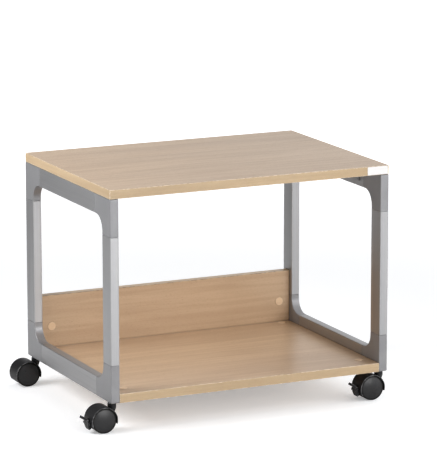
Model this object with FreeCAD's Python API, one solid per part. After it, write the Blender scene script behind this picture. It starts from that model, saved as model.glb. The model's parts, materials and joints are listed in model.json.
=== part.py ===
import FreeCAD, Part
import math
import os

# Mobile stand: two aluminium side frames carry a top shelf, a lower shelf and a back panel.
# Four twin-wheel castors stand under the frames, and the front two have brakes.
# Millimetres. X runs to the right, Y to the back, Z up from the floor under the stand's centre.

# Overall sizes
stand_width = 600.0
stand_depth = 432.0
stand_height = 477.0

# Boards and their edge bands
board_thickness = 18.0
band_thickness = 1.0
band_edge_radius = 0.7
board_corner_radius = 2.0
back_panel_height = 108.5       # above the lower shelf
back_panel_inset = 10.0         # behind the panel, to the back of the frames

# Side frames: hollow profiles joined by cast corner pieces
profile_width = 18.0            # across the frame, along X
profile_height = 39.0           # in the plane of the frame
profile_wall = 2.0
profile_edge_radius = 1.6
corner_inner_radius = 30.0
corner_lead = 6.0               # straight stretch from the inner curve to each seam
corner_outer_radius = 3.0
seam_chamfer = 0.7
spigot_length = 28.0
spigot_clearance = 0.15
spigot_chamfer = 1.5

# Castors
wheel_diameter = 50.0
wheel_width = 12.5
wheel_edge_radius = 2.0
wheel_rim = 2.8
wheel_web = 4.0
wheel_boss_radius = 6.5
castor_trail = 22.5             # swivel axis to axle
castor_top_gap = 5.3            # hood to the underside of the side frames
hood_web_width = 11.0
hood_wall = 1.2
hood_side_cover = 2.0           # how far the hood stands out past each wheel
hood_edge_radius = 0.8
hood_front_angle = -16.0        # about the axle, from +X towards +Z
hood_rear_angle = 210.0
wheel_hood_gap = 1.0
wheel_web_gap = 0.5
axle_radius = 3.0
axle_head_radius = 4.2
axle_head_length = 1.2
running_clearance = 0.05
neck_radius = 8.5
neck_foot_radius = 4.5
neck_height = 9.0
neck_taper_height = 12.0
stem_radius = 4.0
stem_length = 22.0
stem_flange_radius = 7.5
stem_flange_length = 2.5
stem_flange_gap = 0.2
swivel_pin_radius = 3.5
swivel_pin_length = 23.0
swivel_head_radius = 4.1
swivel_head_length = 2.0
swivel_head_gap = 0.25
socket_wall = 2.0
socket_end_gap = 2.0

# Hub caps
cap_dome = 3.6
cap_wall = 1.6
cap_recess = 0.6
cap_skirt = 3.4
gate_mark_radius = 1.5
gate_mark_depth = 0.3

# Brake levers
lever_width = 18.0
lever_inner_gap = 3.0           # wheel to lever, brake off
lever_thickness = 5.0
lever_top_angle = 174.0
lever_foot_angle = 211.0
lever_pivot_angle = 188.0
lever_edge_chamfer = 0.8
tab_root_angle = 2.0            # tab's root to the lever's top end, about the axle
tab_length = 15.0
tab_thickness = 5.0
tab_width = 12.0
tab_rise_angle = 32.0
tab_corner_radius = 4.0
brake_pin_radius = 1.2
brake_ear_thickness = 2.0
brake_ear_radius = 3.0
brake_ear_gap = 0.4
brake_slot_depth = 3.5
brake_slot_margin = 5.0

# Fixings
fixing_inset = 24.0             # board end to cam centre
cap_panel_gap = 3.5             # rear cover caps to the back panel
panel_cam_height = 43.5         # above the lower shelf
cam_radius = 7.5
cam_bolt_radius = 3.5
cam_bolt_head_radius = 2.6
cam_bolt_neck_radius = 1.8
cam_bolt_thread = 10.0
cam_bolt_shoulder_gap = 1.0     # cam disc to the bolt's full-width shank
cam_gap = 0.1
cover_cap_radius = 8.5
cover_cap_thickness = 0.8
cover_cap_edge = 0.4
bracket_width = 30.0
bracket_height = 28.0
bracket_depth = 26.0
bracket_sheet = 2.0
bracket_seam_distance = 31.0    # bracket centre to the rail's seam
bracket_screw_radius = 1.8
bracket_screw_head_radius = 3.6
bracket_screw_head = 1.8
bracket_screw_length = 13.0
bracket_screw_drop = 17.5       # shelf underside to the screw in the rail

# Blank label on the front edge
label_width = 45.0
label_margin = 0.8
label_thickness = 0.3
label_end_gap = 0.5

# For cutting and for picking edges
cutter_overshoot = 1.0
closeness = 1e-6

# Worked out from the sizes above
half_width = stand_width / 2
half_depth = stand_depth / 2
wheel_radius = wheel_diameter / 2
wheel_inner_y = hood_web_width / 2 + wheel_web_gap
wheel_outer_y = wheel_inner_y + wheel_width
hood_half_width = wheel_outer_y + hood_side_cover
hood_inner_radius = wheel_radius + wheel_hood_gap
hood_outer_radius = hood_inner_radius + hood_wall
frame_bottom = wheel_radius + hood_outer_radius + castor_top_gap
frame_top = stand_height - board_thickness
inner_face = half_width - profile_width
shelf_level = frame_bottom + board_thickness
panel_back = half_depth - back_panel_inset
panel_front = panel_back - board_thickness
panel_top = shelf_level + back_panel_height
cam_depth = board_thickness / 2 + cam_bolt_radius
shelf_cam_y = panel_front - cap_panel_gap - cover_cap_radius
corner_reach = profile_height + corner_inner_radius + corner_lead
bracket_y = half_depth - corner_reach - bracket_seam_distance
profile_centre = half_width - profile_width / 2
swivel_y = half_depth - profile_height / 2
cap_radius = wheel_radius - wheel_rim
lever_inner_radius = wheel_radius + lever_inner_gap
lever_outer_radius = lever_inner_radius + lever_thickness
lever_pivot_radius = (lever_inner_radius + lever_outer_radius) / 2
stem_flange_z = frame_bottom - stem_flange_length
neck_top = stem_flange_z - stem_flange_gap
axle_centre = FreeCAD.Vector(-castor_trail, 0, wheel_radius)

sides = {"left": -1, "right": 1}
ends = {"front": -1, "rear": 1}


def vec(x, y, z):
    return FreeCAD.Vector(x, y, z)


def box(low, high):
    size = [b - a for a, b in zip(low, high)]
    return Part.makeBox(*size, vec(*low))


def rod(radius, start, end):
    along = end - start
    return Part.makeCylinder(radius, along.Length, start, along)


def fuse(shapes):
    return shapes[0].multiFuse(shapes[1:]).removeSplitter()


def cut(shape, tools):
    for tool in tools:
        shape = shape.cut(tool)
    return shape


def extrude(edges, along):
    return Part.Face(Part.Wire(edges)).extrude(along)


def edges_where(shape, test):
    return [edge for edge in shape.Edges if test(edge.BoundBox)]


def flat_at(low, high, level):
    return abs(low - level) < closeness and abs(high - level) < closeness


def mirrored(shape, side, end):
    """The right rear shape, carried to any side and end."""
    if side < 0:
        shape = shape.mirror(vec(0, 0, 0), vec(1, 0, 0))
    if end < 0:
        shape = shape.mirror(vec(0, 0, 0), vec(0, 1, 0))
    return shape


def export(name, shapes):
    solids = [solid for shape in shapes for solid in shape.Solids]
    result = solids[0] if len(solids) == 1 else Part.makeCompound(solids)
    result.exportStep(os.path.join("parts", name + ".step"))


# ---- fixings shared by the boards and the frames ----

def cam_places():
    """Cam centre on the board's face, board normal and side, for all six cams."""
    cam_x = inner_face - fixing_inset
    places = []
    for side in sides.values():
        for end in ends.values():
            places.append((vec(side * cam_x, end * shelf_cam_y, shelf_level), vec(0, 0, 1), side))
        panel_cam = vec(side * cam_x, panel_front, shelf_level + panel_cam_height)
        places.append((panel_cam, vec(0, -1, 0), side))
    return places


def cam_bolt(face_point, normal, side, grow=0.0):
    centre = face_point - normal * (board_thickness / 2)
    outward = vec(side, 0, 0)
    joint = centre + outward * fixing_inset
    head = rod(cam_bolt_head_radius + grow, centre - outward * (cam_bolt_head_radius + grow),
               centre + outward * cam_bolt_head_radius)
    shoulder = centre + outward * (cam_radius + cam_bolt_shoulder_gap)
    neck = rod(cam_bolt_neck_radius + grow, centre, shoulder)
    shank = rod(cam_bolt_radius, shoulder, joint + outward * cam_bolt_thread)
    return fuse([head, neck, shank])


def cam_bore(face_point, normal, side):
    """The bolt's hole, from the cam's centre through the board's end and into the frame."""
    centre = face_point - normal * (board_thickness / 2)
    return rod(cam_bolt_radius, centre,
               centre + vec(side, 0, 0) * (fixing_inset + cam_bolt_thread))


def cam_pocket(face_point, normal):
    return rod(cam_radius, face_point, face_point - normal * cam_depth)


def cam_disc(face_point, normal, side):
    disc = cam_pocket(face_point, normal)
    return disc.cut(cam_bolt(face_point, normal, side, cam_gap))


def cover_cap(face_point, normal):
    cap = rod(cover_cap_radius, face_point, face_point + normal * cover_cap_thickness)
    top = (face_point + normal * cover_cap_thickness).dot(normal)
    rim = [e for e in cap.Edges
           if e.Closed and abs(e.CenterOfMass.dot(normal) - top) < closeness]
    return cap.makeFillet(cover_cap_edge, rim)


def cut_cam_fixings(board, wanted_normal):
    for face_point, normal, side in cam_places():
        if normal == wanted_normal:
            board = cut(board, [cam_pocket(face_point, normal), cam_bore(face_point, normal, side)])
    return board


def bracket_screws(side, end):
    """Two pan-head screws: one up into the top shelf, one into the rail."""
    screw_y = end * bracket_y
    screw_x = side * (inner_face - bracket_depth / 2 - bracket_sheet / 2)
    below = frame_top - bracket_sheet
    shelf_screw = fuse([
        rod(bracket_screw_head_radius, vec(screw_x, screw_y, below - bracket_screw_head),
            vec(screw_x, screw_y, below)),
        rod(bracket_screw_radius, vec(screw_x, screw_y, below),
            vec(screw_x, screw_y, below + bracket_screw_length)),
    ])
    screw_z = frame_top - bracket_screw_drop
    plate_x = inner_face - bracket_sheet
    rail_screw = fuse([
        rod(bracket_screw_head_radius, vec(side * (plate_x - bracket_screw_head), screw_y, screw_z),
            vec(side * plate_x, screw_y, screw_z)),
        rod(bracket_screw_radius, vec(side * plate_x, screw_y, screw_z),
            vec(side * (plate_x + bracket_screw_length), screw_y, screw_z)),
    ])
    return [shelf_screw, rail_screw]


def all_bracket_screws():
    return [screw for side in sides.values() for end in ends.values()
            for screw in bracket_screws(side, end)]


def shelf_bracket(side, end):
    """An angle bracket under the top shelf, with a gusset at each side."""
    low_y = end * bracket_y - bracket_width / 2
    high_y = low_y + bracket_width
    outer, inner = inner_face, inner_face - bracket_depth
    upright = box((outer - bracket_sheet, low_y, frame_top - bracket_height),
                  (outer, high_y, frame_top))
    shelf_leg = box((inner, low_y, frame_top - bracket_sheet), (outer, high_y, frame_top))
    gussets = []
    for gusset_y in (low_y, high_y - bracket_sheet):
        corners = [vec(outer, gusset_y, frame_top), vec(inner, gusset_y, frame_top),
                   vec(inner, gusset_y, frame_top - bracket_sheet),
                   vec(outer - bracket_sheet, gusset_y, frame_top - bracket_height),
                   vec(outer, gusset_y, frame_top - bracket_height)]
        face = Part.Face(Part.makePolygon(corners + corners[:1]))
        gussets.append(face.extrude(vec(0, bracket_sheet, 0)))
    bracket = fuse([upright, shelf_leg] + gussets)
    if side < 0:
        bracket = bracket.mirror(vec(0, 0, 0), vec(1, 0, 0))
    return cut(bracket, bracket_screws(side, end))


# ---- boards ----

def slab(low, high, corner_radius):
    """A board's full outline with its long edges softened."""
    plate = box(low, high)
    if corner_radius:
        upright = edges_where(plate, lambda b: b.ZLength > b.XLength + b.YLength)
        plate = plate.makeFillet(corner_radius, upright)
    rims = edges_where(plate, lambda b: b.ZLength < closeness)
    return plate.makeFillet(band_edge_radius, rims)


def top_shelf():
    low = (-half_width, -half_depth, frame_top)
    high = (half_width, half_depth, stand_height)
    outline = slab(low, high, board_corner_radius)
    core = box((low[0] + band_thickness, low[1] + band_thickness, low[2]),
               (high[0] - band_thickness, high[1] - band_thickness, high[2]))
    ring = outline.cut(core)
    strips = []
    for end in ends.values():
        near, far = sorted((end * (half_depth - band_thickness), end * half_depth))
        strips.append(ring.common(box((low[0], near, low[2]), (high[0], far, high[2]))))
    for side in sides.values():
        near, far = sorted((side * (half_width - band_thickness), side * half_width))
        strips.append(ring.common(box((near, low[1] + band_thickness, low[2]),
                                      (far, high[1] - band_thickness, high[2]))))
    return cut(core, all_bracket_screws()), strips


def edge_strip(low, high, outer_y):
    """A band along X whose two outer long edges are softened."""
    strip = box(low, high)
    long_edges = edges_where(
        strip, lambda b: b.XLength > closeness and flat_at(b.YMin, b.YMax, outer_y))
    return strip.makeFillet(band_edge_radius, long_edges)


def lower_shelf():
    core = box((-inner_face, -half_depth + band_thickness, frame_bottom),
               (inner_face, half_depth - band_thickness, shelf_level))
    strips = []
    for end in ends.values():
        near, far = sorted((end * (half_depth - band_thickness), end * half_depth))
        strips.append(edge_strip((-inner_face, near, frame_bottom),
                                 (inner_face, far, shelf_level), end * half_depth))
    return cut_cam_fixings(core, vec(0, 0, 1)), strips


def back_panel():
    band_bottom = panel_top - band_thickness
    core = box((-inner_face, panel_front, shelf_level), (inner_face, panel_back, band_bottom))
    strip = box((-inner_face, panel_front, band_bottom), (inner_face, panel_back, panel_top))
    long_edges = edges_where(
        strip, lambda b: b.XLength > closeness and flat_at(b.ZMin, b.ZMax, panel_top))
    strip = strip.makeFillet(band_edge_radius, long_edges)
    return cut_cam_fixings(core, vec(0, -1, 0)), [strip]


def front_label():
    right = half_width - board_corner_radius - label_end_gap
    return box((right - label_width, -half_depth - label_thickness, frame_top + label_margin),
               (right, -half_depth, stand_height - label_margin))


# ---- side frames ----

def profile_tube(low, high, axis):
    """A hollow profile along Y or Z, with rounded long edges and chamfered ends."""
    along = "YLength" if axis == "Y" else "ZLength"
    tube = box(low, high)
    long_edges = edges_where(tube, lambda b: getattr(b, along) > closeness)
    tube = tube.makeFillet(profile_edge_radius, long_edges)
    rims = edges_where(tube, lambda b: getattr(b, along) < closeness)
    tube = tube.makeChamfer(seam_chamfer, rims)
    inset = [profile_wall] * 3
    inset["XYZ".index(axis)] = -cutter_overshoot
    return tube.cut(box([a + step for a, step in zip(low, inset)],
                        [b - step for b, step in zip(high, inset)]))


def post():
    """The right rear post."""
    return profile_tube((inner_face, half_depth - profile_height, frame_bottom + corner_reach),
                        (half_width, half_depth, frame_top - corner_reach), "Z")


def rail(low_z):
    """A right-hand rail whose underside is at low_z."""
    reach = half_depth - corner_reach
    return profile_tube((inner_face, -reach, low_z),
                        (half_width, reach, low_z + profile_height), "Y")


def spigot(low, high, axis):
    tongue = box(low, high)
    far = high[2] if axis == "Z" else low[1]
    if axis == "Z":
        tip = edges_where(tongue, lambda b: flat_at(b.ZMin, b.ZMax, far))
    else:
        tip = edges_where(tongue, lambda b: flat_at(b.YMin, b.YMax, far))
    return tongue.makeChamfer(spigot_chamfer, tip)


def corner_outline():
    """Outline of the right rear lower corner in the frame's plane, as edges at the inner face."""
    back, bottom = half_depth, frame_bottom
    bend = profile_height + corner_inner_radius
    nook = corner_inner_radius * (1 - math.sqrt(0.5))
    soft = corner_outer_radius * (1 - math.sqrt(0.5))
    x = inner_face

    def at(from_back, from_bottom):
        return vec(x, back - from_back, bottom + from_bottom)

    outer = corner_outer_radius
    return [
        Part.LineSegment(at(corner_reach, 0), at(outer, 0)).toShape(),
        Part.Arc(at(outer, 0), at(soft, soft), at(0, outer)).toShape(),
        Part.LineSegment(at(0, outer), at(0, corner_reach)).toShape(),
        Part.LineSegment(at(0, corner_reach), at(profile_height, corner_reach)).toShape(),
        Part.LineSegment(at(profile_height, corner_reach), at(profile_height, bend)).toShape(),
        Part.Arc(at(profile_height, bend), at(profile_height + nook, profile_height + nook),
                 at(bend, profile_height)).toShape(),
        Part.LineSegment(at(bend, profile_height), at(corner_reach, profile_height)).toShape(),
        Part.LineSegment(at(corner_reach, profile_height), at(corner_reach, 0)).toShape(),
    ]


def plain_corner():
    """The right rear lower corner before its holes: an elbow with a spigot into each profile."""
    elbow = extrude(corner_outline(), vec(profile_width, 0, 0))
    post_seam = frame_bottom + corner_reach
    rail_seam = half_depth - corner_reach

    def on_seam(b):
        return flat_at(b.ZMin, b.ZMax, post_seam) or flat_at(b.YMin, b.YMax, rail_seam)

    soft = edges_where(elbow, lambda b: b.XLength < closeness and not on_seam(b))
    elbow = elbow.makeFillet(profile_edge_radius, soft)
    elbow = elbow.makeChamfer(seam_chamfer, edges_where(elbow, on_seam))
    inset = profile_wall + spigot_clearance
    across = (inner_face + inset, half_width - inset)
    post_spigot = spigot((across[0], half_depth - profile_height + inset, post_seam - seam_chamfer),
                         (across[1], half_depth - inset, post_seam + spigot_length), "Z")
    rail_spigot = spigot((across[0], rail_seam - spigot_length, frame_bottom + inset),
                         (across[1], rail_seam + seam_chamfer, frame_bottom + profile_height - inset),
                         "Y")
    return fuse([elbow, post_spigot, rail_spigot])


def socket_bore(radius):
    return rod(radius, vec(profile_centre, swivel_y, frame_bottom),
               vec(profile_centre, swivel_y, frame_bottom + stem_length + socket_end_gap))


def stem_socket(side, end):
    """The threaded sleeve in a lower corner."""
    sleeve = socket_bore(stem_radius + socket_wall).cut(socket_bore(stem_radius))
    return mirrored(sleeve, side, end)


def lower_corner(side, end):
    corner = plain_corner().cut(socket_bore(stem_radius + socket_wall))
    corner = mirrored(corner, side, end)
    return cut(corner, [cam_bore(*place) for place in cam_places()])


def upper_corner(side, end):
    middle = vec(0, 0, (frame_bottom + frame_top) / 2)
    return mirrored(plain_corner().mirror(middle, vec(0, 0, 1)), side, end)


# ---- castors, modelled about a swivel axis at the origin, trailing towards -X ----

def polar(radius, angle, y=0.0):
    turn = math.radians(angle)
    return axle_centre + vec(radius * math.cos(turn), y, radius * math.sin(turn))


def arc(radius, start, end, y):
    return Part.Arc(polar(radius, start, y), polar(radius, (start + end) / 2, y),
                    polar(radius, end, y)).toShape()


def sector(inner, outer, start, end, low_y, high_y):
    """Part of a ring about the axle, from low_y to high_y."""
    edges = [
        arc(outer, start, end, low_y),
        Part.LineSegment(polar(outer, end, low_y), polar(inner, end, low_y)).toShape(),
        arc(inner, end, start, low_y),
        Part.LineSegment(polar(inner, start, low_y), polar(outer, start, low_y)).toShape(),
    ]
    return extrude(edges, vec(0, high_y - low_y, 0))


def axle_rod(radius, low_y, high_y):
    return rod(radius, axle_centre + vec(0, low_y, 0), axle_centre + vec(0, high_y, 0))


def wheel_space():
    """The two round spaces in the hood that the wheels turn in."""
    beyond = hood_half_width + cutter_overshoot
    inner = hood_web_width / 2
    return [axle_rod(hood_inner_radius, inner, beyond), axle_rod(hood_inner_radius, -beyond, -inner)]


def stem():
    """The fixed stem: thread in the frame, flange under it, and the pin that the hood turns on."""
    head_top = stem_flange_z - swivel_pin_length
    thread = rod(stem_radius, vec(0, 0, frame_bottom), vec(0, 0, frame_bottom + stem_length))
    flange = rod(stem_flange_radius, vec(0, 0, stem_flange_z), vec(0, 0, frame_bottom))
    pin = rod(swivel_pin_radius, vec(0, 0, head_top), vec(0, 0, stem_flange_z))
    head = rod(swivel_head_radius, vec(0, 0, head_top - swivel_head_length), vec(0, 0, head_top))
    return fuse([thread, flange, pin, head])


def swivel_bore():
    head_top = stem_flange_z - swivel_pin_length
    bore = rod(swivel_pin_radius + running_clearance, vec(0, 0, head_top),
               vec(0, 0, neck_top + cutter_overshoot))
    pocket = rod(swivel_head_radius + running_clearance,
                 vec(0, 0, head_top - swivel_head_length - swivel_head_gap),
                 vec(0, 0, head_top + swivel_head_gap))
    return [bore, pocket]


def hood_body():
    shell = sector(hood_inner_radius, hood_outer_radius, hood_front_angle, hood_rear_angle,
                   -hood_half_width, hood_half_width)
    web_half = hood_web_width / 2
    web_radius = hood_inner_radius + hood_wall / 2
    rims = edges_where(shell, lambda b: b.YLength < closeness and b.ZLength > hood_outer_radius)
    shell = shell.makeFillet(hood_edge_radius, [e for e in rims if e.Curve.Radius > web_radius])
    web_edges = [arc(web_radius, hood_front_angle, hood_rear_angle, -web_half),
                 Part.LineSegment(polar(web_radius, hood_rear_angle, -web_half),
                                  polar(web_radius, hood_front_angle, -web_half)).toShape()]
    web = extrude(web_edges, vec(0, hood_web_width, 0))
    shoulder = neck_top - neck_height
    neck = rod(neck_radius, vec(0, 0, shoulder), vec(0, 0, neck_top))
    foot = Part.makeCone(neck_foot_radius, neck_radius, neck_taper_height,
                         vec(0, 0, shoulder - neck_taper_height))
    body = fuse([shell, web, neck, foot])
    return cut(body, wheel_space() + [axle_rod(axle_radius, -web_half, web_half)])


def plain_hood():
    return cut(hood_body(), swivel_bore())


def brake_ear(low_y, high_y):
    arm_half = math.degrees(brake_ear_radius / lever_pivot_radius)
    arm = sector(hood_inner_radius + hood_wall / 2, lever_pivot_radius,
                 lever_pivot_angle - arm_half, lever_pivot_angle + arm_half, low_y, high_y)
    eye = rod(brake_ear_radius, polar(lever_pivot_radius, lever_pivot_angle, low_y),
              polar(lever_pivot_radius, lever_pivot_angle, high_y))
    return [arm, eye]


def brake_pin(radius=brake_pin_radius):
    reach = lever_width / 2 + brake_ear_gap + brake_ear_thickness
    return rod(radius, polar(lever_pivot_radius, lever_pivot_angle, -reach),
               polar(lever_pivot_radius, lever_pivot_angle, reach))


def braked_hood():
    """A hood with a slot behind the wheels and two ears that hold the brake lever's pin."""
    slot_half = lever_width / 2 + brake_ear_gap
    slot = sector(wheel_radius - brake_slot_depth, lever_inner_radius,
                  lever_top_angle, hood_rear_angle + brake_slot_margin, -slot_half, slot_half)
    ears = []
    for end in ends.values():
        low_y, high_y = sorted((end * slot_half, end * (slot_half + brake_ear_thickness)))
        ears += brake_ear(low_y, high_y)
    hood = fuse([hood_body().cut(slot)] + ears)
    return cut(hood, swivel_bore() + [brake_pin()])


def brake_lever():
    """A curved pedal behind the wheels: the tab is pressed down and the foot brakes the wheels."""
    half = lever_width / 2
    pedal = sector(lever_inner_radius, lever_outer_radius, lever_top_angle, lever_foot_angle,
                   -half, half)
    side_edges = edges_where(pedal, lambda b: b.YLength < closeness)
    pedal = pedal.makeChamfer(lever_edge_chamfer, side_edges)
    root = polar(lever_pivot_radius, lever_top_angle + tab_root_angle)
    rise = math.radians(180 - tab_rise_angle)
    out = vec(math.cos(rise), 0, math.sin(rise))
    up = vec(out.z, 0, -out.x)
    start = root - up * (tab_thickness / 2)
    tab_half = tab_width / 2
    near_left = start - vec(0, tab_half, 0)
    near_right = start + vec(0, tab_half, 0)
    far_left = near_left + out * tab_length
    far_right = near_right + out * tab_length
    outline = Part.Face(Part.makePolygon([near_left, far_left, far_right, near_right, near_left]))
    tab = outline.extrude(up * tab_thickness)
    tip = [e for e in tab.Edges if e.BoundBox.YLength < closeness
           and abs((e.CenterOfMass - start).dot(out) - tab_length) < closeness]
    tab = tab.makeFillet(tab_corner_radius, tip)
    lever = fuse([pedal, tab])
    return lever.cut(brake_pin(brake_pin_radius + running_clearance))


def axle():
    shaft_half = wheel_outer_y - cap_recess - cap_skirt
    head_end = shaft_half + axle_head_length
    return fuse([axle_rod(axle_radius, -shaft_half, shaft_half),
                 axle_rod(axle_head_radius, shaft_half, head_end),
                 axle_rod(axle_head_radius, -head_end, -shaft_half)])


def wheel():
    """The wheel on the +Y side: a rim and a boss on a web, open towards the outside."""
    solid = axle_rod(wheel_radius, wheel_inner_y, wheel_outer_y)
    rims = [e for e in solid.Edges if e.Closed and e.Length > wheel_radius]
    solid = solid.makeFillet(wheel_edge_radius, rims)
    boss_end = wheel_outer_y - cap_recess - cap_skirt - running_clearance
    web_face = wheel_inner_y + wheel_web
    hollow = axle_rod(cap_radius, web_face, wheel_outer_y)
    boss = axle_rod(wheel_boss_radius, wheel_inner_y, boss_end)
    bore = axle_rod(axle_radius + running_clearance, wheel_inner_y, wheel_outer_y)
    return fuse([solid.cut(hollow), boss]).cut(bore)


def dome_arc(centre_y, edge_y, radius):
    """A shallow arc in the XY plane from the axle out to radius."""
    rise = centre_y - edge_y
    sphere = (radius * radius + rise * rise) / (2 * rise)
    middle_y = centre_y - sphere + math.sqrt(sphere * sphere - radius * radius / 4)
    points = [axle_centre + vec(0, centre_y, 0), axle_centre + vec(radius / 2, middle_y, 0),
              axle_centre + vec(radius, edge_y, 0)]
    return Part.Arc(*points).toShape()


def hub_cap():
    """The domed cap of the +Y wheel, with a skirt that seats in the rim and a gate mark."""
    edge_y = wheel_outer_y - cap_recess
    skirt_y = edge_y - cap_skirt
    inside = cap_radius - cap_wall
    outer_dome = dome_arc(edge_y + cap_dome, edge_y, cap_radius)
    inner_dome = dome_arc(edge_y + cap_dome - cap_wall, edge_y - cap_wall, inside)

    def at(radius, y):
        return axle_centre + vec(radius, y, 0)

    edges = [
        outer_dome,
        Part.LineSegment(at(cap_radius, edge_y), at(cap_radius, skirt_y)).toShape(),
        Part.LineSegment(at(cap_radius, skirt_y), at(inside, skirt_y)).toShape(),
        Part.LineSegment(at(inside, skirt_y), at(inside, edge_y - cap_wall)).toShape(),
        inner_dome,
        Part.LineSegment(at(0, edge_y + cap_dome - cap_wall), at(0, edge_y + cap_dome)).toShape(),
    ]
    profile = Part.Face(Part.Wire(Part.__sortEdges__(edges)))
    cap = profile.revolve(axle_centre, vec(0, 1, 0), 360)
    apex_y = edge_y + cap_dome
    return cap.cut(axle_rod(gate_mark_radius, apex_y - gate_mark_depth, apex_y + cutter_overshoot))


def flipped(shape):
    return shape.mirror(vec(0, 0, 0), vec(0, 1, 0))


def castor_place(side, end):
    return vec(side * profile_centre, end * swivel_y, 0)


def moved(shape, place):
    shape = shape.copy()
    shape.translate(place)
    return shape


def export_castors():
    braked, plain = braked_hood(), plain_hood()
    lever, lever_pin, shaft = brake_lever(), brake_pin(), axle()
    rear_wheel, rear_cap = wheel(), hub_cap()
    for end_name, end in ends.items():
        for side_name, side in sides.items():
            name = "%s_%s_castor" % (end_name, side_name)
            place = castor_place(side, end)
            export(name + "_hood", [moved(braked if end < 0 else plain, place)])
            export(name + "_axle", [moved(shaft, place)])
            export(name + "_back_wheel", [moved(rear_wheel, place)])
            export(name + "_back_hub_cap", [moved(rear_cap, place)])
            export(name + "_front_wheel", [moved(flipped(rear_wheel), place)])
            export(name + "_front_hub_cap", [moved(flipped(rear_cap), place)])
            if end < 0:
                export(name + "_brake_lever", [moved(lever, place)])
                export(name + "_brake_pin", [moved(lever_pin, place)])


def export_frames():
    for side_name, side in sides.items():
        for end_name, end in ends.items():
            place = "%s_%s" % (side_name, end_name)
            export(place + "_post", [mirrored(post(), side, end)])
            export(place + "_lower_corner", [lower_corner(side, end)])
            export(place + "_upper_corner", [upper_corner(side, end)])
        screws = all_bracket_screws()
        export(side_name + "_lower_rail", [mirrored(rail(frame_bottom), side, 1)])
        top_rail = mirrored(rail(frame_top - profile_height), side, 1)
        export(side_name + "_top_rail", [cut(top_rail, screws)])


def export_boards():
    for name, build in (("top_shelf", top_shelf), ("lower_shelf", lower_shelf),
                        ("back_panel", back_panel)):
        core, strips = build()
        export(name + "_board", [core])
        export(name + "_edge_bands", strips)
    export("front_label", [front_label()])


def export_fixings():
    cams = cam_places()
    export("cam_bolts", [cam_bolt(*place) for place in cams])
    export("cam_discs", [cam_disc(*place) for place in cams])
    export("cam_cover_caps", [cover_cap(point, normal) for point, normal, side in cams])
    for name, side in sides.items():
        export(name + "_shelf_brackets", [shelf_bracket(side, end) for end in ends.values()])
    export("bracket_screws", all_bracket_screws())
    places = [(side, end) for side in sides.values() for end in ends.values()]
    export("castor_stems", [moved(stem(), castor_place(*place)) for place in places])
    export("castor_stem_sockets", [stem_socket(*place) for place in places])


os.makedirs("parts", exist_ok=True)
export_boards()
export_frames()
export_fixings()
export_castors()
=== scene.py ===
import json
import math

import bpy
from mathutils import Matrix, Vector


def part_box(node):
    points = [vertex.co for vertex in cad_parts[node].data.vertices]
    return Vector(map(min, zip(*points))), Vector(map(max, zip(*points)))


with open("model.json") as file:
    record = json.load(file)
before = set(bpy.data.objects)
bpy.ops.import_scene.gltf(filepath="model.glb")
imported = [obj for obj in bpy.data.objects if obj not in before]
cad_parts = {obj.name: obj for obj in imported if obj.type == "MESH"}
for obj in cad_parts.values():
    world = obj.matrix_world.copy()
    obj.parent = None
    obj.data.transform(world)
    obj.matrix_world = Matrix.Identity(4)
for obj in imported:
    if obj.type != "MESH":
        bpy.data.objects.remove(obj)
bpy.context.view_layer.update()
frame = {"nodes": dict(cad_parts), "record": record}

shelfLow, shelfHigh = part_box("top_shelf_board")
shelfCentre = (shelfLow + shelfHigh) / 2


# ways of building a node tree

def addNode(tree, kind, **settings):
    node = tree.nodes.new(kind)
    for name, value in settings.items():
        setattr(node, name, value)
    return node


def feed(tree, socket, source):
    # a socket takes another socket, a colour or a number
    if isinstance(source, bpy.types.NodeSocket):
        tree.links.new(source, socket)
    elif isinstance(source, (tuple, list)) and len(source) == 3 and socket.type == "RGBA":
        socket.default_value = (*source, 1.0)
    else:
        socket.default_value = source


def calc(tree, operation, *values, clamp=False):
    node = addNode(tree, "ShaderNodeMath", operation=operation, use_clamp=clamp)
    for socket, value in zip(node.inputs, values):
        feed(tree, socket, value)
    return node.outputs[0]


def scaled(tree, vector, scale):
    # stretches coordinates: metres in, pattern units out
    node = addNode(tree, "ShaderNodeVectorMath", operation="MULTIPLY")
    feed(tree, node.inputs[0], vector)
    feed(tree, node.inputs[1], scale)
    return node.outputs[0]


def noise(tree, vector, scale=1.0, detail=3.0, roughness=0.55, distortion=0.0):
    node = addNode(tree, "ShaderNodeTexNoise")
    for name, value in (("Vector", vector), ("Scale", scale), ("Detail", detail),
                        ("Roughness", roughness), ("Distortion", distortion)):
        feed(tree, node.inputs[name], value)
    return node.outputs["Fac"]


def spread(tree, value, low, high, newLow=0.0, newHigh=1.0):
    node = addNode(tree, "ShaderNodeMapRange", interpolation_type="SMOOTHSTEP")
    for socket, source in zip(node.inputs, (value, low, high, newLow, newHigh)):
        feed(tree, socket, source)
    return node.outputs["Result"]


def blendColours(tree, share, first, second):
    node = addNode(tree, "ShaderNodeMix", data_type="RGBA")
    feed(tree, node.inputs["Factor"], share)
    feed(tree, node.inputs["A"], first)
    feed(tree, node.inputs["B"], second)
    return node.outputs["Result"]


socketKinds = {"value": "NodeSocketFloat", "colour": "NodeSocketColor", "vector": "NodeSocketVector"}


def newGroup(name, inputs, outputs):
    group = bpy.data.node_groups.new(name, "ShaderNodeTree")
    for title, kind, start in inputs:
        socket = group.interface.new_socket(title, in_out="INPUT", socket_type=socketKinds[kind])
        if start is not None:
            socket.default_value = (*start, 1.0) if kind == "colour" else start
    for title, kind in outputs:
        group.interface.new_socket(title, in_out="OUTPUT", socket_type=socketKinds[kind])
    entry = group.nodes.new("NodeGroupInput").outputs
    leave = group.nodes.new("NodeGroupOutput").inputs
    return group, entry, leave


# shared effects, each one a node group

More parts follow.
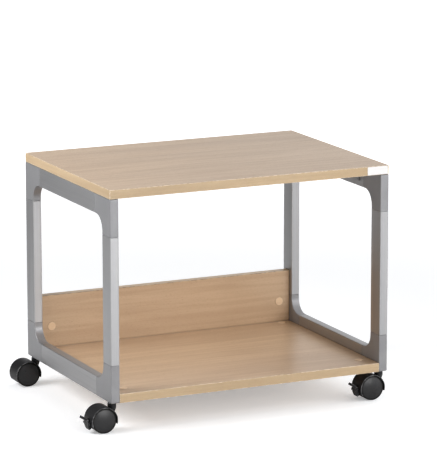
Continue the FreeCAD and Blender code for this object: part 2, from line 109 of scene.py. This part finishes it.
def makeBeechGrain():
    # decor grain with its length along the first coordinate
    group, entry, leave = newGroup(
        "beechGrain",
        [("Vector", "vector", None), ("Pale", "colour", (0.6, 0.45, 0.3)),
         ("Deep", "colour", (0.45, 0.3, 0.18)), ("Fleck", "colour", (0.3, 0.17, 0.09)),
         ("Fleck Strength", "value", 0.5), ("Streak Width", "value", 1.0)],
        [("Color", "colour"), ("Roughness", "value"), ("Height", "value")])
    place = scaled(group, entry["Vector"], entry["Streak Width"])
    broad = noise(group, scaled(group, place, (1.4, 9.0, 9.0)), detail=3.0, distortion=0.9)
    streaks = noise(group, scaled(group, place, (4.0, 110.0, 110.0)), detail=5.0, distortion=0.4)
    fine = noise(group, scaled(group, place, (14.0, 620.0, 620.0)), detail=2.0)
    # medullary flecks: short dashes, a few millimetres long
    dashes = noise(group, scaled(group, place, (190.0, 1500.0, 1500.0)), detail=1.0, distortion=0.3)
    flecks = spread(group, dashes, 0.60, 0.68)
    tone = calc(group, "ADD", calc(group, "MULTIPLY", broad, 0.55),
                calc(group, "MULTIPLY", streaks, 0.45))
    tone = spread(group, tone, 0.36, 0.64)
    colour = blendColours(group, tone, entry["Pale"], entry["Deep"])
    softened = calc(group, "MULTIPLY", fine, 0.22)
    colour = blendColours(group, softened, colour, entry["Deep"])
    shownFlecks = calc(group, "MULTIPLY", flecks, entry["Fleck Strength"])
    feed(group, leave["Color"], blendColours(group, shownFlecks, colour, entry["Fleck"]))
    feed(group, leave["Roughness"], spread(group, calc(group, "ADD", streaks, shownFlecks),
                                           0.3, 1.2, 0.28, 0.42))
    feed(group, leave["Height"], calc(group, "SUBTRACT", calc(group, "MULTIPLY", fine, 0.35),
                                      shownFlecks))
    return group


def makeEdgeMask():
    # painted highlight and wear: bright where an edge is sharp, standing in for the light caught on
    # the rounded edge, and broken up along its length
    group, entry, leave = newGroup(
        "edgeMask", [("Vector", "vector", None), ("Radius", "value", 0.0008),
                     ("Strength", "value", 1.0)], [("Mask", "value")])
    rounded = addNode(group, "ShaderNodeBevel", samples=4)
    feed(group, rounded.inputs["Radius"], entry["Radius"])
    surface = addNode(group, "ShaderNodeNewGeometry")
    turned = addNode(group, "ShaderNodeVectorMath", operation="DOT_PRODUCT")
    feed(group, turned.inputs[0], rounded.outputs["Normal"])
    feed(group, turned.inputs[1], surface.outputs["Normal"])
    sharp = spread(group, calc(group, "SUBTRACT", 1.0, turned.outputs["Value"]), 0.002, 0.05)
    worn = spread(group, noise(group, entry["Vector"], scale=160.0, detail=4.0), 0.35, 0.62)
    mask = calc(group, "MULTIPLY", calc(group, "MULTIPLY", sharp, worn), entry["Strength"],
                clamp=True)
    feed(group, leave["Mask"], mask)
    return group


def makePaintedCreviceShade():
    # painted shade: the mask is bright down in seams, grooves and corners, where little light gets in,
    # and the colour is darkened there
    group, entry, leave = newGroup(
        "paintedCreviceShade", [("Reach", "value", 0.002), ("Strength", "value", 1.0)], [("Mask", "value")])
    shade = addNode(group, "ShaderNodeAmbientOcclusion", samples=6)
    feed(group, shade.inputs["Distance"], entry["Reach"])
    hidden = spread(group, calc(group, "SUBTRACT", 1.0, shade.outputs["AO"]), 0.12, 0.62)
    feed(group, leave["Mask"], calc(group, "MULTIPLY", hidden, entry["Strength"], clamp=True))
    return group


def makeFineSkin():
    # moulded or powder-coated surface: orange-peel grain, cloudy colour, uneven gloss
    group, entry, leave = newGroup(
        "fineSkin",
        [("Vector", "vector", None), ("Base", "colour", (0.2, 0.2, 0.2)),
         ("Lift", "colour", (0.3, 0.3, 0.3)), ("Grain Size", "value", 0.0004),
         ("Speckle", "value", 0.2), ("Gloss Low", "value", 0.35), ("Gloss High", "value", 0.5)],
        [("Color", "colour"), ("Roughness", "value"), ("Height", "value")])
    frequency = calc(group, "DIVIDE", 1.0, entry["Grain Size"])
    peel = noise(group, entry["Vector"], scale=frequency, detail=2.0)
    cloud = noise(group, entry["Vector"], scale=26.0, detail=4.0, distortion=0.5)
    speck = noise(group, entry["Vector"], scale=calc(group, "MULTIPLY", frequency, 1.7), detail=1.0)
    share = calc(group, "ADD", calc(group, "MULTIPLY", spread(group, cloud, 0.3, 0.7), 0.45),
                 calc(group, "MULTIPLY", spread(group, speck, 0.45, 0.75), entry["Speckle"]))
    feed(group, leave["Color"], blendColours(group, share, entry["Base"], entry["Lift"]))
    gloss = calc(group, "ADD", calc(group, "MULTIPLY", cloud, 0.7), calc(group, "MULTIPLY", peel, 0.3))
    feed(group, leave["Roughness"], spread(group, gloss, 0.3, 0.7, entry["Gloss Low"],
                                           entry["Gloss High"]))
    feed(group, leave["Height"], peel)
    return group


def makeDrawnLines():
    # faint lines that run the length of an extruded profile
    group, entry, leave = newGroup(
        "drawnLines",
        [("Vector", "vector", None), ("Base", "colour", (0.6, 0.6, 0.6)),
         ("Shade", "colour", (0.5, 0.5, 0.5)), ("Gloss Low", "value", 0.25),
         ("Gloss High", "value", 0.4)],
        [("Color", "colour"), ("Roughness", "value"), ("Height", "value")])
    lines = noise(group, entry["Vector"], scale=1.0, detail=4.0, roughness=0.7)
    matt = noise(group, scaled(group, entry["Vector"], (0.035, 0.035, 0.035)), scale=1.0, detail=3.0)
    share = calc(group, "ADD", calc(group, "MULTIPLY", spread(group, lines, 0.35, 0.65), 0.55),
                 calc(group, "MULTIPLY", spread(group, matt, 0.35, 0.65), 0.45))
    feed(group, leave["Color"], blendColours(group, share, entry["Base"], entry["Shade"]))
    feed(group, leave["Roughness"], spread(group, share, 0.0, 1.0, entry["Gloss Low"],
                                           entry["Gloss High"]))
    feed(group, leave["Height"], lines)
    return group


groups = {
    "beechGrain": makeBeechGrain(),
    "edgeMask": makeEdgeMask(),
    "paintedCreviceShade": makePaintedCreviceShade(),
    "fineSkin": makeFineSkin(),
    "drawnLines": makeDrawnLines(),
}
print("shared effects made:", ", ".join(groups))


# materials

def newMaterial(name, metallic, specular=0.5):
    material = bpy.data.materials.new(name)
    material.use_nodes = True
    tree = material.node_tree
    shader = tree.nodes["Principled BSDF"]
    shader.inputs["Metallic"].default_value = metallic
    shader.inputs["Specular IOR Level"].default_value = specular
    place = addNode(tree, "ShaderNodeTexCoord")
    return material, tree, shader, place.outputs["Object"]


def useGroup(tree, name, **values):
    node = addNode(tree, "ShaderNodeGroup", node_tree=groups[name])
    for title, value in values.items():
        feed(tree, node.inputs[title.replace("_", " ")], value)
    return node.outputs


def addBump(tree, shader, height, depth):
    bump = addNode(tree, "ShaderNodeBump")
    bump.inputs["Distance"].default_value = depth
    bump.inputs["Strength"].default_value = 1.0
    feed(tree, bump.inputs["Height"], height)
    feed(tree, shader.inputs["Normal"], bump.outputs["Normal"])


def addWearAndPaintedLight(tree, place, colour, finish):
    # edge wear with a painted highlight along the edges, and painted shade darker in the joints
    edge = useGroup(tree, "edgeMask", Vector=place, Radius=finish["edgeRadius"],
                    Strength=finish["edgeStrength"])
    colour = blendColours(tree, edge["Mask"], colour, finish["edgeWearAndPaintedLight"])
    # painted shade: the colour darkens where the surface is hidden in seams, grooves and corners
    paintedShade = useGroup(tree, "paintedCreviceShade", Reach=finish["paintedShadeReach"],
                       Strength=finish["paintedShadeStrength"])
    return blendColours(tree, paintedShade["Mask"], colour, finish["paintedShade"])


# in every finish the edge colour is wear with a painted highlight, and paintedShade is the painted
# shade in crevices
boardFinish = {
    "pale": (0.59, 0.420, 0.270), "deep": (0.48, 0.325, 0.200), "fleck": (0.29, 0.165, 0.09),
    "fleckStrength": 0.42, "streakWidth": 1.0, "poreDepth": 0.00005, "specular": 0.5,
    "edgeWearAndPaintedLight": (0.74, 0.60, 0.45), "edgeRadius": 0.0008, "edgeStrength": 0.4,
    "paintedShade": (0.10, 0.06, 0.035), "paintedShadeReach": 0.004, "paintedShadeStrength": 0.7,
}
# painted highlight: the bands' light edge colour draws the sheen on their rounded arrises
bandFinish = {
    "pale": (0.57, 0.420, 0.255), "deep": (0.48, 0.345, 0.205), "fleck": (0.35, 0.22, 0.13),
    "fleckStrength": 0.35, "streakWidth": 1.6, "poreDepth": 0.00004, "specular": 0.5,
    "edgeWearAndPaintedLight": (0.96, 0.84, 0.68), "edgeRadius": 0.0016, "edgeStrength": 1.0,
    "paintedShade": (0.10, 0.06, 0.035), "paintedShadeReach": 0.003, "paintedShadeStrength": 0.7,
}
# painted shade: the back panel's top edge is dark along its corners
panelBandFinish = {**bandFinish, "edgeWearAndPaintedLight": (0.12, 0.08, 0.06), "edgeRadius": 0.0026}
capFinish = {
    "pale": (0.80, 0.59, 0.38), "deep": (0.72, 0.50, 0.31), "fleck": (0.42, 0.25, 0.13),
    "fleckStrength": 0.3, "streakWidth": 2.2, "poreDepth": 0.00003, "specular": 0.5,
    "edgeWearAndPaintedLight": (0.92, 0.78, 0.58), "edgeRadius": 0.0009, "edgeStrength": 0.8,
    "paintedShade": (0.12, 0.06, 0.03), "paintedShadeReach": 0.002, "paintedShadeStrength": 0.8,
}


def makeBeech(name, finish, turnsWithEdge=False):
    material, tree, shader, place = newMaterial(name, 0.0, finish["specular"])
    if turnsWithEdge:
        # on the shelf's two end bands the grain runs from front to back
        facing = addNode(tree, "ShaderNodeTexCoord").outputs["Normal"]
        sides = addNode(tree, "ShaderNodeSeparateXYZ")
        feed(tree, sides.inputs[0], facing)
        onEnd = calc(tree, "GREATER_THAN", calc(tree, "ABSOLUTE", sides.outputs["X"]), 0.7)
        parts = addNode(tree, "ShaderNodeSeparateXYZ")
        feed(tree, parts.inputs[0], place)
        swapped = addNode(tree, "ShaderNodeCombineXYZ")
        for title, source in (("X", "Y"), ("Y", "X"), ("Z", "Z")):
            feed(tree, swapped.inputs[title], parts.outputs[source])
        pick = addNode(tree, "ShaderNodeMix", data_type="VECTOR")
        feed(tree, pick.inputs["Factor"], onEnd)
        feed(tree, pick.inputs[4], place)
        feed(tree, pick.inputs[5], swapped.outputs[0])
        place = pick.outputs[1]
    grain = useGroup(tree, "beechGrain", Vector=place, Pale=finish["pale"], Deep=finish["deep"],
                     Fleck=finish["fleck"], Fleck_Strength=finish["fleckStrength"],
                     Streak_Width=finish["streakWidth"])
    feed(tree, shader.inputs["Base Color"], addWearAndPaintedLight(tree, place, grain["Color"], finish))
    feed(tree, shader.inputs["Roughness"], grain["Roughness"])
    addBump(tree, shader, grain["Height"], finish["poreDepth"])
    return material


profileFinish = {
    "base": (0.45, 0.45, 0.46), "shade": (0.385, 0.385, 0.395), "glossLow": 0.40, "glossHigh": 0.52,
    "metallic": 1.0, "lineDepth": 0.00001, "acrossLines": 900.0, "alongLines": 2.5,
    "edgeWearAndPaintedLight": (0.85, 0.85, 0.86), "edgeRadius": 0.0010, "edgeStrength": 0.6,
    "paintedShade": (0.05, 0.05, 0.055), "paintedShadeReach": 0.0025, "paintedShadeStrength": 0.9,
}


def makeProfile(name, finish, axis):
    material, tree, shader, place = newMaterial(name, finish["metallic"])
    stretch = [finish["acrossLines"]] * 3
    stretch[axis] = finish["alongLines"]
    lines = useGroup(tree, "drawnLines", Vector=scaled(tree, place, stretch), Base=finish["base"],
                     Shade=finish["shade"], Gloss_Low=finish["glossLow"],
                     Gloss_High=finish["glossHigh"])
    feed(tree, shader.inputs["Base Color"], addWearAndPaintedLight(tree, place, lines["Color"], finish))
    feed(tree, shader.inputs["Roughness"], lines["Roughness"])
    addBump(tree, shader, lines["Height"], finish["lineDepth"])
    return material


# every finish that is moulded, coated, cast or plated
skinFinishes = {
    "cast_corner_grey": {
        "base": (0.262, 0.262, 0.272), "lift": (0.33, 0.33, 0.342), "grainSize": 0.0006,
        "speckle": 0.35, "glossLow": 0.36, "glossHigh": 0.5, "metallic": 0.45, "specular": 0.5,
        "bumpDepth": 0.00003,
        "edgeWearAndPaintedLight": (0.62, 0.62, 0.63), "edgeRadius": 0.0010, "edgeStrength": 0.5,
        "paintedShade": (0.03, 0.03, 0.035), "paintedShadeReach": 0.0025, "paintedShadeStrength": 0.9},
    "bracket_steel": {
        "base": (0.30, 0.30, 0.31), "lift": (0.40, 0.40, 0.41), "grainSize": 0.0005, "speckle": 0.3,
        "glossLow": 0.35, "glossHigh": 0.5, "metallic": 0.5, "specular": 0.5, "bumpDepth": 0.00003,
        "edgeWearAndPaintedLight": (0.62, 0.62, 0.63), "edgeRadius": 0.0006, "edgeStrength": 0.5,
        "paintedShade": (0.03, 0.03, 0.035), "paintedShadeReach": 0.004, "paintedShadeStrength": 0.9},
    "label_white": {
        "base": (0.80, 0.79, 0.78), "lift": (0.86, 0.85, 0.84), "grainSize": 0.0005, "speckle": 0.2,
        "glossLow": 0.25, "glossHigh": 0.38, "metallic": 0.0, "specular": 0.5, "bumpDepth": 0.00001,
        "edgeWearAndPaintedLight": (0.62, 0.60, 0.57), "edgeRadius": 0.0003, "edgeStrength": 0.3,
        "paintedShade": (0.45, 0.43, 0.40), "paintedShadeReach": 0.001, "paintedShadeStrength": 0.5},
    "zinc_steel": {
        "base": (0.60, 0.60, 0.58), "lift": (0.72, 0.72, 0.70), "grainSize": 0.0008, "speckle": 0.6,
        "glossLow": 0.24, "glossHigh": 0.42, "metallic": 1.0, "specular": 0.5, "bumpDepth": 0.00002,
        "edgeWearAndPaintedLight": (0.82, 0.82, 0.80), "edgeRadius": 0.0004, "edgeStrength": 0.6,
        "paintedShade": (0.12, 0.12, 0.11), "paintedShadeReach": 0.002, "paintedShadeStrength": 0.7},
    "bright_steel": {
        "base": (0.58, 0.58, 0.60), "lift": (0.70, 0.70, 0.71), "grainSize": 0.0010, "speckle": 0.4,
        "glossLow": 0.18, "glossHigh": 0.34, "metallic": 1.0, "specular": 0.5, "bumpDepth": 0.00002,
        "edgeWearAndPaintedLight": (0.84, 0.84, 0.84), "edgeRadius": 0.0004, "edgeStrength": 0.6,
        "paintedShade": (0.12, 0.12, 0.12), "paintedShadeReach": 0.002, "paintedShadeStrength": 0.7},
    "blackened_steel": {
        "base": (0.030, 0.030, 0.032), "lift": (0.060, 0.060, 0.062), "grainSize": 0.0006,
        "speckle": 0.4, "glossLow": 0.34, "glossHigh": 0.48, "metallic": 0.6, "specular": 0.4,
        "bumpDepth": 0.00002,
        "edgeWearAndPaintedLight": (0.20, 0.20, 0.20), "edgeRadius": 0.0003, "edgeStrength": 0.5,
        "paintedShade": (0.010, 0.010, 0.010), "paintedShadeReach": 0.002, "paintedShadeStrength": 0.8},
    # painted highlight: the hood's light edge colour draws the light line along its rim
    "castor_plastic": {
        "base": (0.008, 0.008, 0.009), "lift": (0.018, 0.018, 0.020), "grainSize": 0.0004,
        "speckle": 0.4, "glossLow": 0.34, "glossHigh": 0.50, "metallic": 0.0, "specular": 0.28,
        "bumpDepth": 0.00004,
        "edgeWearAndPaintedLight": (0.44, 0.44, 0.45), "edgeRadius": 0.0009, "edgeStrength": 0.9,
        "paintedShade": (0.002, 0.002, 0.002), "paintedShadeReach": 0.004, "paintedShadeStrength": 0.9},
    "wheel_black": {
        "base": (0.006, 0.006, 0.006), "lift": (0.014, 0.013, 0.012), "grainSize": 0.0007,
        "speckle": 0.5, "glossLow": 0.42, "glossHigh": 0.62, "metallic": 0.0, "specular": 0.25,
        "bumpDepth": 0.00005,
        "edgeWearAndPaintedLight": (0.05, 0.05, 0.05), "edgeRadius": 0.0008, "edgeStrength": 0.4,
        "paintedShade": (0.002, 0.002, 0.002), "paintedShadeReach": 0.004, "paintedShadeStrength": 0.9},
    "hub_cap_black": {
        "base": (0.014, 0.014, 0.015), "lift": (0.024, 0.024, 0.026), "grainSize": 0.0003,
        "speckle": 0.25, "glossLow": 0.26, "glossHigh": 0.36, "metallic": 0.0, "specular": 0.4,
        "bumpDepth": 0.00002,
        "edgeWearAndPaintedLight": (0.10, 0.10, 0.105), "edgeRadius": 0.0005, "edgeStrength": 0.4,
        "paintedShade": (0.003, 0.003, 0.003), "paintedShadeReach": 0.003, "paintedShadeStrength": 0.9},
}


def makeSkin(name, finish):
    material, tree, shader, place = newMaterial(name, finish["metallic"], finish["specular"])
    skin = useGroup(tree, "fineSkin", Vector=place, Base=finish["base"], Lift=finish["lift"],
                    Grain_Size=finish["grainSize"], Speckle=finish["speckle"],
                    Gloss_Low=finish["glossLow"], Gloss_High=finish["glossHigh"])
    feed(tree, shader.inputs["Base Color"], addWearAndPaintedLight(tree, place, skin["Color"], finish))
    feed(tree, shader.inputs["Roughness"], skin["Roughness"])
    addBump(tree, shader, skin["Height"], finish["bumpDepth"])
    return material


materials = {slot: makeSkin(slot, finish) for slot, finish in skinFinishes.items()}
materials["beech_laminate"] = makeBeech("beechLaminate", boardFinish)
materials["beech_edge_band"] = makeBeech("beechEdgeBand", bandFinish, turnsWithEdge=True)
materials["cover_cap_beech"] = makeBeech("coverCapBeech", capFinish)
panelBand = makeBeech("panelEdgeBand", panelBandFinish)
alongY, alongZ = 1, 2
profiles = {
    alongY: makeProfile("anodisedProfileY", profileFinish, alongY),
    alongZ: makeProfile("anodisedProfileZ", profileFinish, alongZ),
}


def materialFor(node, slotName):
    if node == "back_panel_edge_bands":
        return panelBand
    if slotName != "anodised_aluminium":
        return materials[slotName]
    low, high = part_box(node)
    return profiles[alongY if high.y - low.y > high.z - low.z else alongZ]


for part in frame["record"]["subparts"]:
    item = frame["nodes"][part["node"]]
    finish = materialFor(part["node"], part["material_slot"])
    if not item.material_slots:
        item.data.materials.append(finish)
    for materialSlot in item.material_slots:
        materialSlot.material = finish


# studio

studio = {
    "floorHalf": 30.0, "floorRoughness": 0.9, "floorSpecular": 0.2,
    "floorSeen": (0.915, 0.93, 0.95), "floorBounce": (0.80, 0.80, 0.80),
    "nearGlow": 0.32, "farGlow": 1.0, "glowStart": 0.9, "glowEnd": 3.0,
    # soft walls of light round the stand: the way to each, and its strength
    "walls": (((0.3, -0.95, 0.0), 0.16), ((1.0, 0.0, 0.0), 1.95), ((0.0, 1.0, 0.0), 0.12)),
}


def outward(azimuth, elevation):
    # the way from the stand: azimuth 0 is straight in front, and -90 is to its left
    around, above = math.radians(azimuth), math.radians(elevation)
    return Vector((math.sin(around) * math.cos(above), -math.cos(around) * math.cos(above),
                   math.sin(above)))


def makeFloor():
    half = studio["floorHalf"]
    mesh = bpy.data.meshes.new("floor")
    corners = [(-half, -half, 0), (half, -half, 0), (half, half, 0), (-half, half, 0)]
    mesh.from_pydata(corners, [], [(0, 1, 2, 3)])
    floor = bpy.data.objects.new("floor", mesh)
    bpy.context.scene.collection.objects.link(floor)
    material, tree, shader, place = newMaterial("paleFloor", 0.0, studio["floorSpecular"])
    shader.inputs["Roughness"].default_value = studio["floorRoughness"]
    shader.inputs["Emission Color"].default_value = (1.0, 1.0, 1.0, 1.0)
    # white to the camera, and a soft grey in what it throws back on the stand
    seen = addNode(tree, "ShaderNodeLightPath").outputs["Is Camera Ray"]
    feed(tree, shader.inputs["Base Color"],
         blendColours(tree, seen, studio["floorBounce"], studio["floorSeen"]))
    away = addNode(tree, "ShaderNodeVectorMath", operation="LENGTH")
    feed(tree, away.inputs[0], place)
    glow = spread(tree, away.outputs["Value"], studio["glowStart"], studio["glowEnd"],
                  studio["nearGlow"], studio["farGlow"])
    feed(tree, shader.inputs["Emission Strength"], calc(tree, "MULTIPLY", seen, glow))
    mesh.materials.append(material)


def makeWorld():
    world = bpy.data.worlds.new("studio")
    world.use_nodes = True
    tree = world.node_tree
    background = tree.nodes["Background"]
    background.inputs["Color"].default_value = (1.0, 1.0, 1.0, 1.0)
    # the backdrop is plain white to the camera; as a light it is a few soft walls
    away = addNode(tree, "ShaderNodeTexCoord").outputs["Generated"]
    strength = addNode(tree, "ShaderNodeLightPath").outputs["Is Camera Ray"]
    for direction, power in studio["walls"]:
        facing = addNode(tree, "ShaderNodeVectorMath", operation="DOT_PRODUCT")
        feed(tree, facing.inputs[0], away)
        feed(tree, facing.inputs[1], Vector(direction).normalized())
        wall = spread(tree, facing.outputs["Value"], 0.0, 1.0, 0.0, power)
        strength = calc(tree, "ADD", strength, wall)
    feed(tree, background.inputs["Strength"], strength)
    bpy.context.scene.world = world


lights = {
    # name: degrees round the stand and above it, metres away, its size in metres, watts
    "sideLight": (-95.0, 30.0, 1.5, (1.0, 0.8), 17.5),
    "frontFill": (10.0, 12.0, 3.2, (1.8, 1.4), 38.0),
    "highFill": (10.0, 38.0, 3.2, (1.8, 1.4), 8.0),
    "rightFill": (60.0, 20.0, 1.7, (0.8, 0.8), 4.0),
}


def makeLights():
    middle = Vector((0.0, 0.0, shelfCentre.z / 2))
    for name, (azimuth, elevation, distance, size, power) in lights.items():
        data = bpy.data.lights.new(name, "AREA")
        data.shape = "RECTANGLE"
        data.size, data.size_y = size
        data.energy = power
        lamp = bpy.data.objects.new(name, data)
        way = outward(azimuth, elevation)
        lamp.location = middle + way * distance
        lamp.rotation_euler = (-way).to_track_quat("-Z", "Y").to_euler()
        bpy.context.scene.collection.objects.link(lamp)


view = {
    # degrees round the stand and above the floor, metres from the aim point
    "azimuth": -25.148, "elevation": 11.959, "roll": -0.044, "distance": 6.3764,
    "lens": 249.5, "sensor": 36.0, "farLimit": 200.0, "aim": (0.0292, 0.0, 0.3311),
}


def makeCamera():
    back = outward(view["azimuth"], view["elevation"])
    data = bpy.data.cameras.new("camera")
    data.lens = view["lens"]
    data.sensor_width = view["sensor"]
    data.clip_end = view["farLimit"]
    camera = bpy.data.objects.new("camera", data)
    bpy.context.scene.collection.objects.link(camera)
    turn = (-back).to_track_quat("-Z", "Y").to_matrix().to_4x4()
    roll = Matrix.Rotation(math.radians(view["roll"]), 4, "Z")
    place = Matrix.Translation(Vector(view["aim"]) + back * view["distance"])
    camera.matrix_world = place @ turn @ roll
    bpy.context.scene.camera = camera


makeFloor()
makeWorld()
makeLights()
makeCamera()
bpy.context.scene.view_settings.view_transform = "Standard"
print("floor, lights and camera placed")
